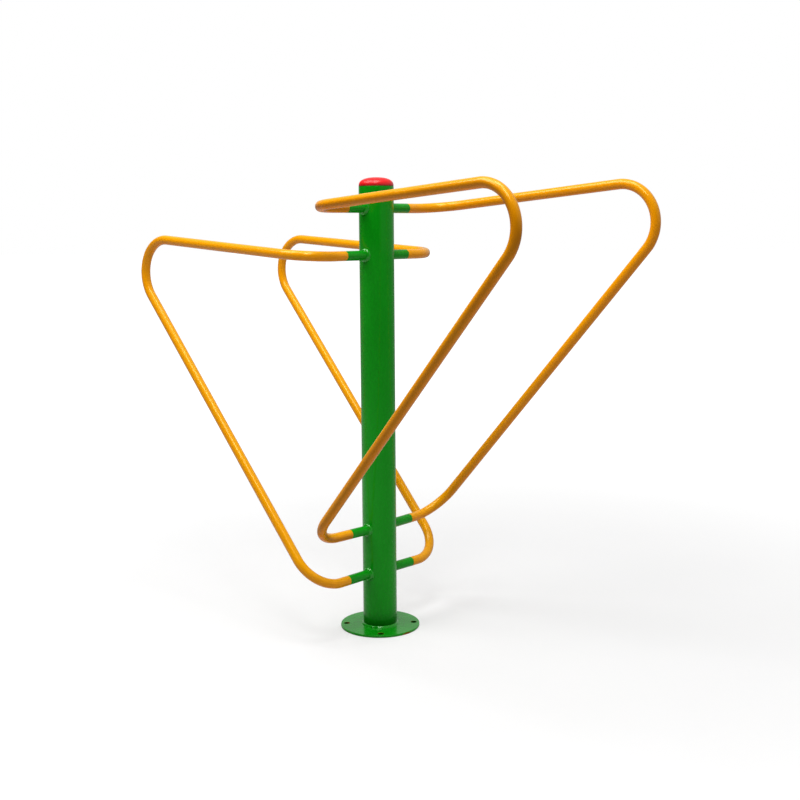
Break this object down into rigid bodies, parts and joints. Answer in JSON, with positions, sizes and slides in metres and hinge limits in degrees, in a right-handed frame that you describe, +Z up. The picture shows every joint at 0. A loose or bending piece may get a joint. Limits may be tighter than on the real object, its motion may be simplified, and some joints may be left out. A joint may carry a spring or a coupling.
{
  "type": "outdoor parallel bars",
  "caption": "Outdoor parallel bars: bent tube bars at two heights, reaching both ways from one round post on a bolted flange plate, for dips, swings and support exercises.",
  "frame": {"origin": "centre of the flange plate's underside, on the ground", "axes": "+Z up along the post; +X from the post towards the noses of the high pair of bars, -X towards the low pair; +Y towards the rear bar of each pair"},
  "size_m": [1.7125, 0.7215, 1.5093],
  "materials": {
    "post_green": "glossy green powder coat",
    "flange_green": "glossy green powder coat, worn at the holes and the rim",
    "bead_green": "green powder coat over a rippled weld",
    "stub_green": "glossy green powder coat",
    "bar_yellow": "glossy warm yellow powder coat",
    "cap_red": "glossy red moulded plastic",
    "spigot_steel": "bare drawn steel"
  },
  "bodies": {
    "root": {"base_flange": "flange_green", "post_tube": "post_green", "base_bead": "bead_green", "post_cap": "cap_red", "high_bar_front": "bar_yellow", "high_bar_rear": "bar_yellow", "low_bar_front": "bar_yellow", "low_bar_rear": "bar_yellow", "high_bar_front_upper_stub": "stub_green", "high_bar_front_upper_bead": "bead_green", "high_bar_front_upper_spigot": "spigot_steel", "high_bar_front_lower_stub": "stub_green", "high_bar_front_lower_bead": "bead_green", "high_bar_front_lower_spigot": "spigot_steel", "high_bar_rear_upper_stub": "stub_green", "high_bar_rear_upper_bead": "bead_green", "high_bar_rear_upper_spigot": "spigot_steel", "high_bar_rear_lower_stub": "stub_green", "high_bar_rear_lower_bead": "bead_green", "high_bar_rear_lower_spigot": "spigot_steel", "low_bar_front_upper_stub": "stub_green", "low_bar_front_upper_bead": "bead_green", "low_bar_front_upper_spigot": "spigot_steel", "low_bar_front_lower_stub": "stub_green", "low_bar_front_lower_bead": "bead_green", "low_bar_front_lower_spigot": "spigot_steel", "low_bar_rear_upper_stub": "stub_green", "low_bar_rear_upper_bead": "bead_green", "low_bar_rear_upper_spigot": "spigot_steel", "low_bar_rear_lower_stub": "stub_green", "low_bar_rear_lower_bead": "bead_green", "low_bar_rear_lower_spigot": "spigot_steel"}
  },
  "joints": []
}
